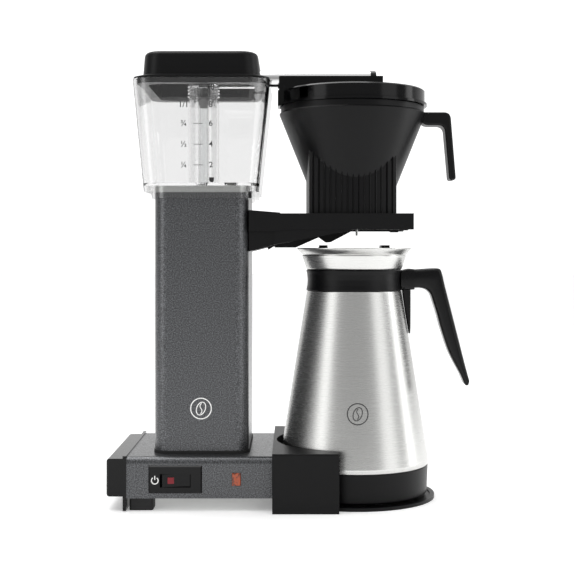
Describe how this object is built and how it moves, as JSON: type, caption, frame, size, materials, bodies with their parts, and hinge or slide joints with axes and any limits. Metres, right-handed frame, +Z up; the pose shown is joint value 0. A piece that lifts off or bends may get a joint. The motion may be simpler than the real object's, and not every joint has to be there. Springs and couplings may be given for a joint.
{
  "type": "drip coffee maker",
  "caption": "Drip coffee maker: steel base and column, clear water tank, outlet arm, black brew basket and a steel thermal carafe with a handle.",
  "frame": {"origin": "middle of the footprint, on the worktop", "axes": "+Z up, +X from the base towards the carafe, front with the switch towards -Y"},
  "size_m": [0.322, 0.164, 0.398],
  "materials": {
    "hammered_paint": "hammered metallic grey enamel",
    "zinc_plate": "zinc plated",
    "rubber": "matt",
    "gloss_black": "gloss moulded",
    "satin_black": "satin moulded",
    "amber_lens": "clear tinted",
    "natural_nylon": "moulded",
    "cable_sheath": "extruded",
    "copper": "drawn copper",
    "heater_sheath": "drawn",
    "silicone": "translucent",
    "clear_plastic": "clear moulded",
    "borosilicate": "clear drawn",
    "polished_steel": "polished",
    "brushed_steel": "brushed round the axis"
  },
  "bodies": {
    "root": {"base_shell": "hammered_paint", "bottom_plate": "zinc_plate", "rubber_feet": "rubber", "foot_screws": "zinc_plate", "end_cap": "gloss_black", "switch_bezel": "gloss_black", "switch_body": "satin_black", "pilot_lamp": "amber_lens", "lamp_socket": "natural_nylon", "cord_gland": "rubber", "terminal_block": "natural_nylon", "terminal_screws": "zinc_plate", "wiring": "cable_sheath", "column_gasket": "rubber", "column_shell": "hammered_paint", "boiler": "copper", "heating_element": "heater_sheath", "boiler_clamps": "zinc_plate", "thermostat": "natural_nylon", "thermal_fuse": "zinc_plate", "inlet_hose": "silicone", "outlet_hose": "silicone", "check_valve": "natural_nylon", "water_tank": "clear_plastic", "tank_seat": "zinc_plate", "riser_cover": "clear_plastic", "riser_seal": "silicone", "riser_tube": "borosilicate", "riser_head": "clear_plastic", "outlet_arm": "polished_steel", "arm_plug": "gloss_black", "basket_holder": "satin_black", "holder_screws": "zinc_plate", "lever_pin": "zinc_plate", "stand_fence": "satin_black", "stand_disc": "satin_black"},
    "rocker": {"rocker_switch": "gloss_black"},
    "tank_lid": {"tank_lid": "satin_black"},
    "lever": {"drip_lever": "satin_black"},
    "basket": {"brew_basket": "satin_black", "basket_handle": "satin_black", "valve_spring": "zinc_plate"},
    "basket_lid": {"basket_lid": "gloss_black"},
    "valve": {"valve_stem": "zinc_plate", "valve_seal": "silicone"},
    "carafe": {"carafe_shell": "brushed_steel", "carafe_liner": "brushed_steel", "carafe_base": "satin_black", "carafe_collar": "satin_black", "carafe_handle": "gloss_black", "handle_screws": "zinc_plate"},
    "carafe_lid": {"carafe_lid": "satin_black", "lid_seal": "silicone", "lid_tube": "natural_nylon"},
    "check_ball": {"check_ball": "natural_nylon"}
  },
  "joints": [
    {"name": "switch_rock", "type": "hinge", "parent": "root", "child": "rocker", "pos_m": [-0.1012, -0.065, 0.0264], "axis": [0, 0, -1], "range_deg": [0, 14]},
    {"name": "tank_lid_lift", "type": "slide", "parent": "root", "child": "tank_lid", "axis": [0, 0, 1], "range_m": [0, 0.08]},
    {"name": "basket_slide", "type": "slide", "parent": "root", "child": "basket", "axis": [1, 0, 0], "range_m": [0, 0.16]},
    {"name": "basket_lid_slide", "type": "slide", "parent": "basket", "child": "basket_lid", "axis": [1, 0, 0], "range_m": [0, 0.15]},
    {"name": "lever_swing", "type": "hinge", "parent": "root", "child": "lever", "pos_m": [-0.021, 0, 0.2365], "axis": [0, -1, 0], "range_deg": [0, 3]},
    {"name": "valve_lift", "type": "slide", "parent": "basket", "child": "valve", "axis": [0, 0, 1], "range_m": [0, 0.004], "deforming": ["valve_spring"]},
    {"name": "carafe_slide", "type": "slide", "parent": "root", "child": "carafe", "axis": [1, 0, 0], "range_m": [0, 0.2]},
    {"name": "carafe_lid_turn", "type": "hinge", "parent": "carafe", "child": "carafe_lid", "pos_m": [0.056, 0, 0.215], "axis": [0, 0, 1], "range_deg": [0, 90]},
    {"name": "ball_lift", "type": "slide", "parent": "root", "child": "check_ball", "axis": [0, 0, 1], "range_m": [0, 0.003]}
  ],
  "couplings": [
    {"joint": "valve_lift", "follows": "lever_swing", "m_per_rad": 0.0755}
  ]
}
